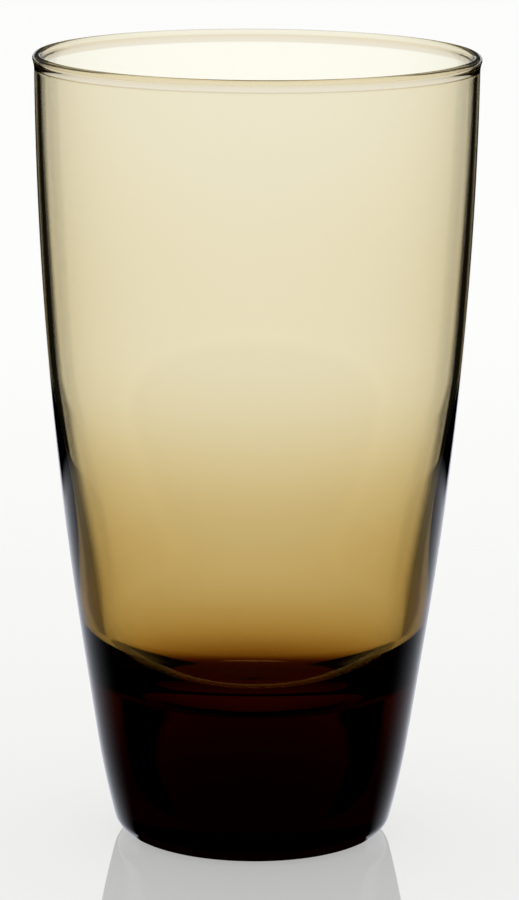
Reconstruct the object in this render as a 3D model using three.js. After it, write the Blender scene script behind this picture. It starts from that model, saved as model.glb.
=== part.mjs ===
// Tall cooler glass in mocha-brown glass, blown thin above a solid base.
// Millimetres, +Z up. The origin is the centre of the foot, on the table.
// The glass is one piece, so its sections are turned as one closed outline.
import * as THREE from 'three';

// Outside
const HEIGHT = 152;
const RIM_DIAMETER = 85;
const FOOT_RING_WIDTH = 6;
const HEEL_RADIUS = 4.8;

// Lean of the side away from upright, in degrees, and the heights where its curve changes
const TOP_LEAN = 0.5;
const SIDE_LEAN = 8.8;
const HEEL_LEAN = 14.5;
const FLARE_FOOT_HEIGHT = 39;
const TURN_IN_HEIGHT = 20;

// Fire-polished bead: how far it stands out from each face of the wall, and its long hollow neck
const BEAD_STEP = 0.35;
const NECK_FILLET = 6;

// Wall thickness under the bead, in the body, and where it swells towards the base
const TOP_WALL = 1.1;
const BODY_WALL = 1.4;
const BASE_WALL = 4;
const TOP_TAPER_LENGTH = 46;
const SWELL_TOP_HEIGHT = 92;
const SWELL_FOOT_HEIGHT = 43;

// Solid base under the middle of the inside's dished floor, and the round corner at its edge
const BASE_THICKNESS = 28;
const FLOOR_DISH_RADIUS = 200;
const CORNER_RADIUS = 17.5;

// Shallow hollow under the foot
const PUSH_UP_DEPTH = 1.2;

// Fineness of the facets
const SECTORS = 60;
const SIDE_STEPS = 7;
const WALL_STEPS = 16;
const CORNER_STEPS = 8;
const FLOOR_STEPS = 3;
const BEAD_STEPS = 10;
const FILLET_STEPS = 4;
const HEEL_STEPS = 6;
const PUSH_UP_STEPS = 4;

const TOP_LEAN_ANGLE = THREE.MathUtils.degToRad(TOP_LEAN);
const SIDE_LEAN_ANGLE = THREE.MathUtils.degToRad(SIDE_LEAN);
const HEEL_LEAN_ANGLE = THREE.MathUtils.degToRad(HEEL_LEAN);

// The bead's section is a circle centred on the wall. A fillet on either side touches
// the circle and the face of the wall.
const beadRadius = TOP_WALL / 2 + BEAD_STEP;
const wallTopRadius = RIM_DIAMETER / 2 - BEAD_STEP;
const beadCentre = new THREE.Vector2(wallTopRadius - TOP_WALL / 2, HEIGHT - beadRadius);
const filletAcross = TOP_WALL / 2 + NECK_FILLET;
const filletDrop = Math.sqrt((beadRadius + NECK_FILLET) ** 2 - filletAcross ** 2);
const neckAngle = Math.atan2(filletDrop, filletAcross);
const wallTopHeight = beadCentre.y - filletDrop;
const heelTopHeight = HEEL_RADIUS * (1 - Math.sin(HEEL_LEAN_ANGLE));

// The wall runs straight from here down into the corner
const floorEdgeRadius = sideRadiusAt(BASE_THICKNESS) - BASE_WALL;
const floorEdgeRise = FLOOR_DISH_RADIUS - Math.sqrt(FLOOR_DISH_RADIUS ** 2 - floorEdgeRadius ** 2);
const bowlTopHeight = BASE_THICKNESS + floorEdgeRise + CORNER_RADIUS;

// Points of a round stretch, the angle measured from the outward direction
function arc(centre, radius, fromAngle, toAngle, steps) {
  const round = new THREE.EllipseCurve(
    centre.x, centre.y, radius, radius, fromAngle, toAngle, toAngle < fromAngle);
  return round.getPoints(steps);
}

// The side from the bead down to the heel: an arc, a straight cone and a closer arc.
// An arc that ends at two leans has a sine that changes evenly with height.
function sideRadiusAt(height) {
  const stretches = [
    [wallTopHeight, TOP_LEAN_ANGLE, FLARE_FOOT_HEIGHT, SIDE_LEAN_ANGLE],
    [FLARE_FOOT_HEIGHT, SIDE_LEAN_ANGLE, TURN_IN_HEIGHT, SIDE_LEAN_ANGLE],
    [TURN_IN_HEIGHT, SIDE_LEAN_ANGLE, heelTopHeight, HEEL_LEAN_ANGLE],
  ];
  let radius = wallTopRadius;
  for (const [top, topLean, foot, footLean] of stretches) {
    const reached = Math.max(height, foot);
    radius -= drawnIn(top, topLean, foot, footLean, reached);
    if (height >= foot) break;
  }
  return radius;
}

// How far a stretch comes in towards the axis between its top and the height reached
function drawnIn(top, topLean, foot, footLean, reached) {
  const drop = top - reached;
  const bend = (Math.sin(footLean) - Math.sin(topLean)) / (top - foot);
  if (bend === 0) return drop * Math.tan(topLean);
  const leanReached = Math.asin(Math.sin(topLean) + bend * drop);
  return (Math.cos(topLean) - Math.cos(leanReached)) / bend;
}

// Wall thickness, level across: thin under the bead, even in the body, thick near the base
function wallThicknessAt(height) {
  const { smoothstep } = THREE.MathUtils;
  const topTaper = smoothstep(height, wallTopHeight - TOP_TAPER_LENGTH, wallTopHeight);
  const swell = 1 - smoothstep(height, SWELL_FOOT_HEIGHT, SWELL_TOP_HEIGHT);
  return BODY_WALL + (TOP_WALL - BODY_WALL) * topTaper + (BASE_WALL - BODY_WALL) * swell;
}

function insideRadiusAt(height) {
  return sideRadiusAt(height) - wallThicknessAt(height);
}

// Hollow under the foot, level at its middle and where it meets the flat ring
function pushUpPoints(ringInnerRadius) {
  const hollow = new THREE.CubicBezierCurve(
    new THREE.Vector2(0, PUSH_UP_DEPTH),
    new THREE.Vector2(ringInnerRadius / 2, PUSH_UP_DEPTH),
    new THREE.Vector2(ringInnerRadius / 2, 0),
    new THREE.Vector2(ringInnerRadius, 0));
  return hollow.getPoints(PUSH_UP_STEPS);
}

// Outside of the side, from the heel up to the bead
function sidePoints() {
  const heights = [heelTopHeight, TURN_IN_HEIGHT, FLARE_FOOT_HEIGHT, wallTopHeight];
  const points = [];
  for (let i = 1; i < heights.length; i += 1) {
    for (let step = 1; step < SIDE_STEPS; step += 1) {
      const height = THREE.MathUtils.lerp(heights[i - 1], heights[i], step / SIDE_STEPS);
      points.push(new THREE.Vector2(sideRadiusAt(height), height));
    }
    if (i < heights.length - 1) {
      points.push(new THREE.Vector2(sideRadiusAt(heights[i]), heights[i]));
    }
  }
  return points;
}

// Inside of the wall, from under the bead down to the bowl
function insideWallPoints() {
  const points = [];
  for (let step = 1; step < WALL_STEPS; step += 1) {
    const height = THREE.MathUtils.lerp(wallTopHeight, bowlTopHeight, step / WALL_STEPS);
    points.push(new THREE.Vector2(insideRadiusAt(height), height));
  }
  return points;
}

// The round bead, with a fillet on each face of the wall under it
function beadPoints() {
  const outer = new THREE.Vector2(beadCentre.x + filletAcross, wallTopHeight);
  const inner = new THREE.Vector2(beadCentre.x - filletAcross, wallTopHeight);
  return [
    ...arc(outer, NECK_FILLET, Math.PI, Math.PI - neckAngle, FILLET_STEPS),
    ...arc(beadCentre, beadRadius, -neckAngle, Math.PI + neckAngle, BEAD_STEPS).slice(1, -1),
    ...arc(inner, NECK_FILLET, neckAngle, 0, FILLET_STEPS),
  ];
}

// Centre of the circle that touches the straight wall and the dished floor from inside.
// It is CORNER_RADIUS in from the wall's line, and as far in from the floor's arc.
function cornerCentreFor(wallRadius, widening, dishCentreHeight) {
  const slant = Math.sqrt(1 + widening ** 2);
  const lineAtDishCentre = wallRadius - CORNER_RADIUS * slant
    + widening * (dishCentreHeight - bowlTopHeight);
  const reach = FLOOR_DISH_RADIUS - CORNER_RADIUS;
  const below = (lineAtDishCentre * widening
    + Math.sqrt((reach * slant) ** 2 - lineAtDishCentre ** 2)) / slant ** 2;
  return new THREE.Vector2(lineAtDishCentre - widening * below, dishCentreHeight - below);
}

// Bottom of the inside: a round corner from the wall's direction into the dished floor
function bowlPoints() {
  const wallRadius = insideRadiusAt(bowlTopHeight);
  const widening = insideRadiusAt(bowlTopHeight + 1) - wallRadius;
  const dishCentre = new THREE.Vector2(0, BASE_THICKNESS + FLOOR_DISH_RADIUS);
  const cornerCentre = cornerCentreFor(wallRadius, widening, dishCentre.y);
  const cornerStart = -Math.atan(widening);
  const cornerEnd = Math.atan2(cornerCentre.y - dishCentre.y, cornerCentre.x);
  return [
    new THREE.Vector2(wallRadius, bowlTopHeight),
    ...arc(cornerCentre, CORNER_RADIUS, cornerStart, cornerEnd, CORNER_STEPS),
    ...arc(dishCentre, FLOOR_DISH_RADIUS, cornerEnd, -Math.PI / 2, FLOOR_STEPS).slice(1, -1),
    new THREE.Vector2(0, BASE_THICKNESS),
  ];
}

// The whole section, from the middle of the foot round the outside to the middle of the inside
function glassOutline() {
  const heelCentre = new THREE.Vector2(
    sideRadiusAt(heelTopHeight) - HEEL_RADIUS * Math.cos(HEEL_LEAN_ANGLE), HEEL_RADIUS);
  return [
    ...pushUpPoints(heelCentre.x - FOOT_RING_WIDTH),
    ...arc(heelCentre, HEEL_RADIUS, -Math.PI / 2, -HEEL_LEAN_ANGLE, HEEL_STEPS),
    ...sidePoints(),
    ...beadPoints(),
    ...insideWallPoints(),
    ...bowlPoints(),
  ];
}

function glassMaterial() {
  return new THREE.MeshStandardMaterial({
    color: 0x8a6a3c,
    roughness: 0.03,
    metalness: 0,
    transparent: true,
    opacity: 0.55,
  });
}

function makeTumbler() {
  const geometry = new THREE.LatheGeometry(glassOutline(), SECTORS);
  geometry.rotateX(Math.PI / 2);
  const tumbler = new THREE.Mesh(geometry, glassMaterial());
  tumbler.name = 'tumbler';
  return tumbler;
}

const coolerGlass = new THREE.Group();
coolerGlass.add(makeTumbler());

export default coolerGlass;
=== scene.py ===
"""Tall mocha-brown cooler glass standing on a pale polished table."""

import math

import bpy
from mathutils import Matrix, Vector


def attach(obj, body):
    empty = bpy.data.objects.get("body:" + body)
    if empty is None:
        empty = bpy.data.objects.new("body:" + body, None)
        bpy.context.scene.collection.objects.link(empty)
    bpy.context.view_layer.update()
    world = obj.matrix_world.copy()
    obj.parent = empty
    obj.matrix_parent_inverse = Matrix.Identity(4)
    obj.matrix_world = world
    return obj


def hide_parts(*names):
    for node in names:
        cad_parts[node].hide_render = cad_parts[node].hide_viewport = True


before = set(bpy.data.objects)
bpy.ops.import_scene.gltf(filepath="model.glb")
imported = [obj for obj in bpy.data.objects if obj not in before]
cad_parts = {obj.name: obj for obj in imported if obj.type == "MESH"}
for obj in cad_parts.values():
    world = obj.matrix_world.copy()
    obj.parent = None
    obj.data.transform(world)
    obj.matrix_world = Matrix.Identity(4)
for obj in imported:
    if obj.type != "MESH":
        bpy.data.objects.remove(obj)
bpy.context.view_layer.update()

MM = 0.001

# Outside of the glass: sizes in millimetres, and leans away from upright
HEIGHT = 152.0
RIM_RADIUS = 42.5
FOOT_RING_WIDTH = 6.0
HEEL_RADIUS = 4.8
TOP_LEAN = math.radians(0.5)
SIDE_LEAN = math.radians(8.8)
HEEL_LEAN = math.radians(14.5)
FLARE_FOOT_HEIGHT = 39.0
TURN_IN_HEIGHT = 20.0
BEAD_STEP = 0.35
NECK_FILLET = 6.0
PUSH_UP_DEPTH = 1.2

# Wall, and the dished floor with its round corner, in millimetres
TOP_WALL = 1.1
BODY_WALL = 1.4
BASE_WALL = 4.0
TOP_TAPER_LENGTH = 46.0
SWELL_TOP_HEIGHT = 92.0
SWELL_FOOT_HEIGHT = 43.0
BASE_THICKNESS = 28.0
FLOOR_DISH_RADIUS = 200.0
CORNER_RADIUS = 17.5

# Steps round the glass and along its section. Over 1, CLOSER packs them towards the top.
SECTORS = 256
SIDE_STEPS = 26
WALL_STEPS = 76
CORNER_STEPS = 24
FLOOR_STEPS = 14
BEAD_STEPS = 24
FILLET_STEPS = 10
HEEL_STEPS = 12
PUSH_UP_STEPS = 10
CLOSER = 1.3

# Points nearer than this, in metres, are welded once the section has been turned
WELD_DISTANCE = 0.000002

bead_radius = TOP_WALL / 2 + BEAD_STEP
wall_top_radius = RIM_RADIUS - BEAD_STEP
bead_centre = (wall_top_radius - TOP_WALL / 2, HEIGHT - bead_radius)
neck_across = TOP_WALL / 2 + NECK_FILLET
neck_drop = math.sqrt((bead_radius + NECK_FILLET) ** 2 - neck_across ** 2)
bead_neck = math.atan2(neck_drop, neck_across)
wall_top_height = bead_centre[1] - neck_drop
heel_top_height = HEEL_RADIUS * (1 - math.sin(HEEL_LEAN))


def smoothstep(value, low, high):
    share = min(1.0, max(0.0, (value - low) / (high - low)))
    return share * share * (3 - 2 * share)


def drawn_in(top, top_lean, foot, foot_lean, reached):
    """How far a stretch of the side comes in between its top and the height reached."""
    drop = top - reached
    bend = (math.sin(foot_lean) - math.sin(top_lean)) / (top - foot)
    if bend == 0:
        return drop * math.tan(top_lean)
    lean_reached = math.asin(math.sin(top_lean) + bend * drop)
    return (math.cos(top_lean) - math.cos(lean_reached)) / bend


def side_radius_at(height):
    """The side from the bead down to the heel: an arc, a straight cone and a closer arc."""
    stretches = [
        (wall_top_height, TOP_LEAN, FLARE_FOOT_HEIGHT, SIDE_LEAN),
        (FLARE_FOOT_HEIGHT, SIDE_LEAN, TURN_IN_HEIGHT, SIDE_LEAN),
        (TURN_IN_HEIGHT, SIDE_LEAN, heel_top_height, HEEL_LEAN),
    ]
    radius = wall_top_radius
    for top, top_lean, foot, foot_lean in stretches:
        radius -= drawn_in(top, top_lean, foot, foot_lean, max(height, foot))
        if height >= foot:
            break
    return radius


def inside_radius_at(height):
    """The wall is thin under the bead, even in the body and thick near the base."""
    top_taper = smoothstep(height, wall_top_height - TOP_TAPER_LENGTH, wall_top_height)
    swell = 1 - smoothstep(height, SWELL_FOOT_HEIGHT, SWELL_TOP_HEIGHT)
    wall = BODY_WALL + (TOP_WALL - BODY_WALL) * top_taper + (BASE_WALL - BODY_WALL) * swell
    return side_radius_at(height) - wall


def arc_points(centre, radius, start, end, steps):
    """Points of a round stretch, its angles measured from the outward direction."""
    angles = [start + (end - start) * step / steps for step in range(steps + 1)]
    return [(centre[0] + radius * math.cos(a), centre[1] + radius * math.sin(a)) for a in angles]


def bezier_points(ends, steps):
    """Points of a soft curve that its four ends pull into shape."""
    points = []
    for step in range(steps + 1):
        t = step / steps
        weights = ((1 - t) ** 3, 3 * t * (1 - t) ** 2, 3 * t * t * (1 - t), t ** 3)
        points.append(tuple(sum(w * p[axis] for w, p in zip(weights, ends)) for axis in (0, 1)))
    return points


def push_up_points(ring_inner_radius):
    """Hollow under the foot, level at its middle and where it meets the flat ring."""
    middle = ring_inner_radius / 2
    ends = [(0, PUSH_UP_DEPTH), (middle, PUSH_UP_DEPTH), (middle, 0), (ring_inner_radius, 0)]
    return bezier_points(ends, PUSH_UP_STEPS)


def side_points():
    """Outside of the side, from the heel up to the bead."""
    heights = (heel_top_height, TURN_IN_HEIGHT, FLARE_FOOT_HEIGHT, wall_top_height)
    points = []
    for low, high in zip(heights, heights[1:]):
        for step in range(1, SIDE_STEPS + 1):
            height = high - (high - low) * (1 - step / SIDE_STEPS) ** CLOSER
            points.append((side_radius_at(height), height))
    return points[:-1]


def bowl_top_height():
    """The wall runs straight from here down into the corner."""
    floor_edge = side_radius_at(BASE_THICKNESS) - BASE_WALL
    rise = FLOOR_DISH_RADIUS - math.sqrt(FLOOR_DISH_RADIUS ** 2 - floor_edge ** 2)
    return BASE_THICKNESS + rise + CORNER_RADIUS


def inside_wall_points():
    """Inside of the wall, from under the bead down to the corner."""
    fall = wall_top_height - bowl_top_height()
    heights = [wall_top_height - fall * (step / WALL_STEPS) ** CLOSER for step in range(1, WALL_STEPS)]
    return [(inside_radius_at(height), height) for height in heights]


def corner_centre_for(wall_radius, widening, top, dish_height):
    """Centre of the circle that touches the straight wall and the dished floor from inside."""
    slant = math.sqrt(1 + widening ** 2)
    line_there = wall_radius - CORNER_RADIUS * slant + widening * (dish_height - top)
    reach = (FLOOR_DISH_RADIUS - CORNER_RADIUS) * slant
    below = (line_there * widening + math.sqrt(reach ** 2 - line_there ** 2)) / slant ** 2
    return line_there - widening * below, dish_height - below


def bowl_points():
    """Bottom of the inside: a round corner from the wall's direction into the dished floor."""
    top = bowl_top_height()
    wall_radius = inside_radius_at(top)
    widening = inside_radius_at(top + 1) - wall_radius
    dish_centre = (0, BASE_THICKNESS + FLOOR_DISH_RADIUS)
    corner = corner_centre_for(wall_radius, widening, top, dish_centre[1])
    corner_end = math.atan2(corner[1] - dish_centre[1], corner[0])
    return (
        [(wall_radius, top)]
        + arc_points(corner, CORNER_RADIUS, -math.atan(widening), corner_end, CORNER_STEPS)
        + arc_points(dish_centre, FLOOR_DISH_RADIUS, corner_end, -math.pi / 2, FLOOR_STEPS)[1:-1]
        + [(0, BASE_THICKNESS)])


def bead_points():
    """The round bead, joined to both faces of the wall by long hollow fillets."""
    outer = (bead_centre[0] + neck_across, wall_top_height)
    inner = (bead_centre[0] - neck_across, wall_top_height)
    return (
        arc_points(outer, NECK_FILLET, math.pi, math.pi - bead_neck, FILLET_STEPS)
        + arc_points(bead_centre, bead_radius, -bead_neck, math.pi + bead_neck, BEAD_STEPS)[1:-1]
        + arc_points(inner, NECK_FILLET, bead_neck, 0, FILLET_STEPS))


def glass_section():
    """The section from the middle of the foot round the outside to the middle of the inside."""
    heel_centre = (side_radius_at(heel_top_height) - HEEL_RADIUS * math.cos(HEEL_LEAN), HEEL_RADIUS)
    return (
        push_up_points(heel_centre[0] - FOOT_RING_WIDTH)
        + arc_points(heel_centre, HEEL_RADIUS, -math.pi / 2, -HEEL_LEAN, HEEL_STEPS)
        + side_points()
        + bead_points()
        + inside_wall_points()
        + bowl_points())


def deselect_all():
    """Operators act on all that is selected, so nothing is left so."""
    for thing in bpy.context.selected_objects:
        thing.select_set(False)


def edit(piece):
    bpy.context.view_layer.objects.active = piece
    bpy.ops.object.mode_set(mode="EDIT")


def finish_edit():
    bpy.ops.object.mode_set(mode="OBJECT")


def draw_section(points):
    """Draws a section from a single point of a small plane, one extruded step after another."""
    deselect_all()
    first = Vector((points[0][0], 0, points[0][1])) * MM
    bpy.ops.mesh.primitive_plane_add(size=MM, location=first)
    piece = bpy.context.active_object
    bpy.ops.object.transform_apply(location=True, rotation=True, scale=True)
    edit(piece)
    bpy.ops.mesh.select_all(action="SELECT")
    bpy.ops.mesh.merge(type="CENTER")
    for (radius, height), (next_radius, next_height) in zip(points, points[1:]):
        step = Vector((next_radius - radius, 0, next_height - height)) * MM
        bpy.ops.mesh.extrude_vertices_move(TRANSFORM_OT_translate={"value": step})
    finish_edit()
    return piece


def turn_round(piece):
    """Spins the section round the glass's axis and closes its seam and poles."""
    edit(piece)
    bpy.ops.mesh.select_all(action="SELECT")
    bpy.ops.mesh.spin(steps=SECTORS, angle=math.tau, center=(0, 0, 0), axis=(0, 0, 1))
    bpy.ops.mesh.select_all(action="SELECT")
    bpy.ops.mesh.remove_doubles(threshold=WELD_DISTANCE)
    bpy.ops.mesh.normals_make_consistent(inside=False)
    finish_edit()


def model_glass():
    glass = draw_section(glass_section())
    glass.name = "cooler_glass"
    turn_round(glass)
    bpy.ops.object.shade_smooth()
    return glass


class Graph:
    """The nodes of a material or of the world, with short ways to add and join them."""

    def __init__(self, tree):
        self.nodes = tree.nodes
        self.links = tree.links

    def add(self, kind, **settings):
        node = self.nodes.new(kind)
        for key, value in settings.items():
            setattr(node, key, value)
        return node

    def feed(self, socket, value):
        """Links another node's output to a socket, or sets the socket's own value."""
        if isinstance(value, bpy.types.NodeSocket):
            self.links.new(value, socket)
        else:
            socket.default_value = value

    def maths(self, operation, first, second=None):
        node = self.add("ShaderNodeMath", operation=operation)
        self.feed(node.inputs[0], first)
        if second is not None:
            self.feed(node.inputs[1], second)
        return node.outputs[0]

    def times(self, first, second):
        return self.maths("MULTIPLY", first, second)

    def minus(self, first, second):
        return self.maths("SUBTRACT", first, second)

    def larger(self, first, second):
        return self.maths("MAXIMUM", first, second)

    def ramp(self, value, span, start=0.0, end=1.0, curve="SMOOTHSTEP"):
        """Goes from start to end as the value goes from the span's first number to its second."""
        node = self.add("ShaderNodeMapRange", interpolation_type=curve)
        names = ("Value", "From Min", "From Max", "To Min", "To Max")
        for name, setting in zip(names, (value, span[0], span[1], start, end)):
            self.feed(node.inputs[name], setting)
        return node.outputs["Result"]

    def mix_values(self, share, first, second):
        node = self.add("ShaderNodeMix", data_type="FLOAT")
        for socket, value in zip((node.inputs[0], node.inputs[2], node.inputs[3]), (share, first, second)):
            self.feed(socket, value)
        return node.outputs[0]

    def mix_colours(self, share, first, second):
        node = self.add("ShaderNodeMix", data_type="RGBA")
        for socket, value in zip((node.inputs[0], node.inputs[6], node.inputs[7]), (share, first, second)):
            self.feed(socket, value)
        return node.outputs[2]

    def coordinates(self, output):
        """X, Y and Z of one of the texture coordinates."""
        place = self.add("ShaderNodeTexCoord")
        split = self.add("ShaderNodeSeparateXYZ")
        self.feed(split.inputs["Vector"], place.outputs[output])
        return [split.outputs[axis] for axis in "XYZ"]

    def distance_from_axis(self, x, y):
        return self.maths("SQRT", self.maths("ADD", self.times(x, x), self.times(y, y)))


def new_material(name):
    material = bpy.data.materials.new(name)
    material.use_nodes = True
    return material, Graph(material.node_tree)


# Red, green and blue that a metre of the glass takes up, and painted shade: a dark colour on the outside of
# its solid base that stands in for the darkness of the thick base
GLASS_INDEX = 1.5
GLASS_ABSORPTION = (83.0, 137.0, 284.0)
BASE_PAINTED_SHADE = (0.14, 0.03, 0.006, 1)
CLEAR = (1, 1, 1, 1)

# The painted shade is full at the first height and gone at the second. It leaves out the inside, which
# lies within this radius and over this height there. All are in metres.
PAINTED_SHADE_HEIGHTS = (0.012, 0.032)
INSIDE_RADIUS = 0.0304
INSIDE_HEIGHT = 0.0275


def base_painted_shade_mask(graph):
    """Where the base's painted shade goes: 1 on the outside of the solid base, fading out up the side, and
    0 on the wall and the inside.
    """
    x, y, height = graph.coordinates("Object")
    low = graph.ramp(height, PAINTED_SHADE_HEIGHTS, 1.0, 0.0)
    within = graph.maths("LESS_THAN", graph.distance_from_axis(x, y), INSIDE_RADIUS)
    inside = graph.times(within, graph.maths("GREATER_THAN", height, INSIDE_HEIGHT))
    return graph.minus(low, graph.times(low, inside))


def colour_through_depth(graph):
    """The glass's own colour, which deepens with the length of glass that light crosses."""
    density = max(GLASS_ABSORPTION)
    colour = graph.add("ShaderNodeVolumeAbsorption")
    colour.inputs["Density"].default_value = density
    colour.inputs["Color"].default_value = tuple(1 - k / density for k in GLASS_ABSORPTION) + (1.0,)
    graph.feed(graph.nodes["Material Output"].inputs["Volume"], colour.outputs["Volume"])


def mocha_glass_material():
    material, graph = new_material("mocha_glass")
    shader = graph.nodes["Principled BSDF"]
    shader.inputs["Transmission Weight"].default_value = 1.0
    shader.inputs["IOR"].default_value = GLASS_INDEX
    shader.inputs["Roughness"].default_value = 0.0
    colour_through_depth(graph)
    # The outside of the solid base is painted dark, for the shade that the thick base shows
    graph.feed(shader.inputs["Base Color"], graph.mix_colours(base_painted_shade_mask(graph), CLEAR, BASE_PAINTED_SHADE))
    return material


# The table's light, as the glass bends it. X runs across and Y runs back from the glass, in metres.
# A pale strip runs back from the glass: its half width, and how much it widens with distance.
STRIP_HALF_WIDTH = 0.090
STRIP_WIDENING = 0.335
STRIP_EDGE = (0.87, 1.13)
STRIP_OUTSIDE = 0.02

# Painted darkness, as two black cards behind the glass would give, lies on either side of the strip.
# The table is pale outside these dark patches, past an angle from straight back that closes in between two
# distances from the glass.
DARK_PATCH_DISTANCES = (0.13, 0.19)
DARK_PATCH_ANGLES = (math.radians(75), math.radians(36))
DARK_PATCH_EDGE = (0.0, math.radians(5))

# Between the glass and the painted dark patches the table is half lit
NEAR_DISTANCES = (0.15, 0.20)
NEAR_LEVEL = 0.42

# In front of the glass the table lies in its shade: the distances over which the shade begins and
# ends, how much light it takes and the angles from straight back over which it sets in
SHADE_INNER = (0.030, 0.034)
SHADE_OUTER = (0.11, 0.15)
SHADE_DEPTH = 0.98
SHADE_ANGLES = (math.radians(95), math.radians(120))

# Light that a reflection inside the glass has turned back loses this much beyond the foot
TURNED_BACK_DISTANCES = (0.04, 0.06)
TURNED_BACK_LOSS = 0.45


def lit_strip(graph, across, back):
    """The pale middle of the table: a strip that runs back from the glass and widens far behind."""
    edge = graph.larger(graph.times(back, STRIP_WIDENING), STRIP_HALF_WIDTH)
    offset = graph.maths("DIVIDE", graph.maths("ABSOLUTE", across), edge)
    return graph.ramp(offset, STRIP_EDGE, 1.0, STRIP_OUTSIDE)


def beside_dark_patches(graph, aside, distance):
    """1 on the table outside two patches of painted darkness behind the glass, on either side, where black
    cards would stand.
    """
    edge = graph.ramp(distance, DARK_PATCH_DISTANCES, *DARK_PATCH_ANGLES)
    return graph.ramp(graph.minus(aside, edge), DARK_PATCH_EDGE)


def shade_in_front(graph, aside, distance):
    """How much of the table's light is lost close in front of the glass."""
    ring = graph.times(
        graph.ramp(distance, SHADE_OUTER, SHADE_DEPTH, 0.0), graph.ramp(distance, SHADE_INNER))
    return graph.times(ring, graph.ramp(aside, SHADE_ANGLES))


def light_through(graph, rays, across, back, distance):
    """Brightness of the table for the light that passes through the glass."""
    aside = graph.maths("ABSOLUTE", graph.maths("ARCTAN2", across, back))
    near = graph.ramp(distance, NEAR_DISTANCES, NEAR_LEVEL, 0.0)
    outside = graph.larger(beside_dark_patches(graph, aside, distance), near)
    level = graph.larger(lit_strip(graph, across, back), outside)
    level = graph.times(level, graph.minus(1.0, shade_in_front(graph, aside, distance)))
    turned_back = graph.maths("MINIMUM", rays.outputs["Glossy Depth"], 1.0)
    lost = graph.times(turned_back, graph.ramp(distance, TURNED_BACK_DISTANCES, 0.0, TURNED_BACK_LOSS))
    return graph.times(level, graph.minus(1.0, lost))


# The table's light, as the glass mirrors it: it fades round to the sides from a point beside and
# before the axis, and a patch of painted darkness lies far behind on either side
MIRRORED_LEVEL = 0.8
MIRRORED_FADE = 2.2
MIRRORED_ANGLES = (math.radians(75), math.radians(20))
MIRRORED_OFFSET = 0.024
MIRRORED_FORWARD = 0.012
FAR_DARK_PATCH_DISTANCES = (0.255, 0.300)
FAR_DARK_PATCH_OFFSETS = (0.100, 0.130)


def light_mirrored(graph, across, back, distance):
    """Brightness of the table for the light that the glass mirrors: it fades round to the sides."""
    offset = graph.maths("ABSOLUTE", across)
    aside = graph.maths(
        "ARCTAN2", graph.minus(offset, MIRRORED_OFFSET), graph.maths("ADD", back, MIRRORED_FORWARD))
    share = graph.ramp(graph.maths("ABSOLUTE", aside), MIRRORED_ANGLES, curve="LINEAR")
    level = graph.times(graph.maths("POWER", share, MIRRORED_FADE), MIRRORED_LEVEL)
    # A patch of painted darkness far behind on either side, where a dark card would stand
    far_dark_patch = graph.times(graph.ramp(distance, FAR_DARK_PATCH_DISTANCES), graph.ramp(offset, FAR_DARK_PATCH_OFFSETS))
    return graph.times(level, graph.minus(1.0, far_dark_patch))


# The table's level and colour: as the camera sees it from front to back, bent and mirrored
SEEN_BACK = (-0.1, 0.7)
SEEN_LEVELS = (0.80, 0.97)
SEEN_COLOUR = (1, 1, 0.985, 1)
BENT_GAIN = 1.19
BENT_COLOUR = (0.947, 1, 1.053, 1)
MIRRORED_COLOUR = (0.92, 0.95, 1.05, 1)

# The table's paint and polish
PAINT_COLOUR = (0.8, 0.8, 0.79, 1)
PAINT_SHARE = 0.25
POLISH_INDEX = 2.8
POLISH_ROUGHNESS = 0.02


def table_glow(graph, rays):
    """The table's own light, as the camera sees it and as the glass mirrors and bends it."""
    across, back, _ = graph.coordinates("Object")
    distance = graph.distance_from_axis(across, back)
    seen = graph.ramp(back, SEEN_BACK, *SEEN_LEVELS)
    mirrored = light_mirrored(graph, across, back, distance)
    through = graph.times(light_through(graph, rays, across, back, distance), BENT_GAIN)
    bending = rays.outputs["Is Transmission Ray"]
    camera = rays.outputs["Is Camera Ray"]
    colour = graph.mix_colours(bending, MIRRORED_COLOUR, BENT_COLOUR)
    level = graph.mix_values(bending, mirrored, through)
    glow = graph.add("ShaderNodeEmission")
    graph.feed(glow.inputs["Color"], graph.mix_colours(camera, colour, SEEN_COLOUR))
    graph.feed(glow.inputs["Strength"], graph.mix_values(camera, level, seen))
    return glow.outputs[0]


def mix_shaders(graph, share, first, second):
    node = graph.add("ShaderNodeMixShader")
    for socket, value in zip(node.inputs, (share, first, second)):
        graph.feed(socket, value)
    return node.outputs[0]


def table_paint(graph):
    paint = graph.add("ShaderNodeBsdfDiffuse")
    paint.inputs["Color"].default_value = PAINT_COLOUR
    return paint.outputs[0]


def table_polish(graph):
    gloss = graph.add("ShaderNodeBsdfGlossy")
    gloss.inputs["Color"].default_value = CLEAR
    gloss.inputs["Roughness"].default_value = POLISH_ROUGHNESS
    return gloss.outputs[0]


def table_material():
    """A pale painted and polished top that carries its own light and takes the glass's shadow."""
    material, graph = new_material("polished_table")
    graph.nodes.remove(graph.nodes["Principled BSDF"])
    rays = graph.add("ShaderNodeLightPath")
    camera = rays.outputs["Is Camera Ray"]
    paint_share = graph.larger(rays.outputs["Is Diffuse Ray"], graph.times(camera, PAINT_SHARE))
    painted = mix_shaders(graph, paint_share, table_glow(graph, rays), table_paint(graph))
    facing = graph.add("ShaderNodeFresnel")
    facing.inputs["IOR"].default_value = POLISH_INDEX
    polished = mix_shaders(graph, graph.times(facing.outputs[0], camera), painted, table_polish(graph))
    graph.feed(graph.nodes["Material Output"].inputs["Surface"], polished)
    return material


TABLE_SIZE = 16
TABLE_HEIGHT = -0.00005


def add_table():
    deselect_all()
    bpy.ops.mesh.primitive_plane_add(size=TABLE_SIZE, location=(0, 0, TABLE_HEIGHT))
    table = bpy.context.active_object
    table.name = "table"
    table.data.materials.append(table_material())


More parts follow.
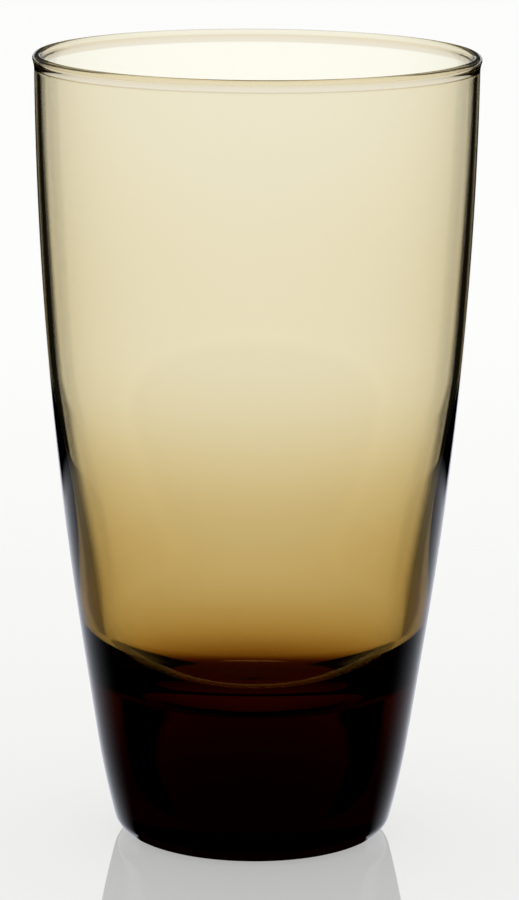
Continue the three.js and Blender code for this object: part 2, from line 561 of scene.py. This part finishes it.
# The room is dark above the horizon, between these heights of a direction's unit length, for the
# light that the glass mirrors and for the light that it has turned back inside
MIRRORED_DUSK = (0.03, 0.10)
MIRRORED_DARK = 0.05
TURNED_DUSK = (0.0, 0.03)
TURNED_DARK = 0.02


def set_surroundings():
    """A white room, which light that the glass mirrors or turns back finds dark overhead."""
    world = bpy.data.worlds.new("studio")
    bpy.context.scene.world = world
    world.use_nodes = True
    graph = Graph(world.node_tree)
    _, _, up = graph.coordinates("Generated")
    rays = graph.add("ShaderNodeLightPath")

    turned_back = graph.maths("MINIMUM", rays.outputs["Glossy Depth"], 1.0)
    through = graph.mix_values(turned_back, 1.0, graph.ramp(up, TURNED_DUSK, 1.0, TURNED_DARK))
    by_glass = graph.times(rays.outputs["Is Glossy Ray"], rays.outputs["Is Singular Ray"])
    plain = graph.mix_values(by_glass, 1.0, graph.ramp(up, MIRRORED_DUSK, 1.0, MIRRORED_DARK))
    background = graph.nodes["Background"]
    background.inputs["Color"].default_value = CLEAR
    graph.feed(
        background.inputs["Strength"],
        graph.mix_values(rays.outputs["Is Transmission Ray"], plain, through))


LAMP_PLACE = (0, 0.2, 1.4)
LAMP_SIZE = 0.8
LAMP_POWER = 6


def turned_towards(place, aim):
    """Rotation that points a lamp or a camera at its aim, upright."""
    return (Vector(aim) - Vector(place)).to_track_quat("-Z", "Y").to_matrix().to_4x4()


def add_overhead_lamp():
    """A round lamp over the table, which only the paint shows."""
    lamp = bpy.data.lights.new("overhead_lamp", "AREA")
    lamp.shape = "DISK"
    lamp.size = LAMP_SIZE
    lamp.energy = LAMP_POWER
    holder = bpy.data.objects.new("overhead_lamp", lamp)
    bpy.context.scene.collection.objects.link(holder)
    holder.matrix_world = Matrix.Translation(LAMP_PLACE) @ turned_towards(LAMP_PLACE, (0, 0, 0))
    holder.visible_glossy = False
    holder.visible_transmission = False
    holder.visible_camera = False


CAMERA_PLACE = (0, -0.835, 0.2496)
CAMERA_AIM = (0, 0, 0.07543)
CAMERA_ROLL = math.radians(0.387)
CAMERA_SENSOR = 36
CAMERA_LENS = 177.28
CAMERA_SHIFT = 0.00537
CAMERA_CLIP = (0.05, 100)


def add_camera():
    data = bpy.data.cameras.new("camera")
    data.sensor_fit = "AUTO"
    data.sensor_width = CAMERA_SENSOR
    data.lens = CAMERA_LENS
    data.shift_x = CAMERA_SHIFT
    data.clip_start, data.clip_end = CAMERA_CLIP
    holder = bpy.data.objects.new("camera", data)
    bpy.context.scene.collection.objects.link(holder)
    roll = Matrix.Rotation(CAMERA_ROLL, 4, "Z")
    holder.matrix_world = Matrix.Translation(CAMERA_PLACE) @ turned_towards(CAMERA_PLACE, CAMERA_AIM) @ roll
    bpy.context.scene.camera = holder


glass = model_glass()
glass.data.materials.append(mocha_glass_material())
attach(glass, "root")
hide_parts("tumbler")

add_table()
set_surroundings()
add_overhead_lamp()
add_camera()
bpy.context.scene.view_settings.view_transform = "Standard"
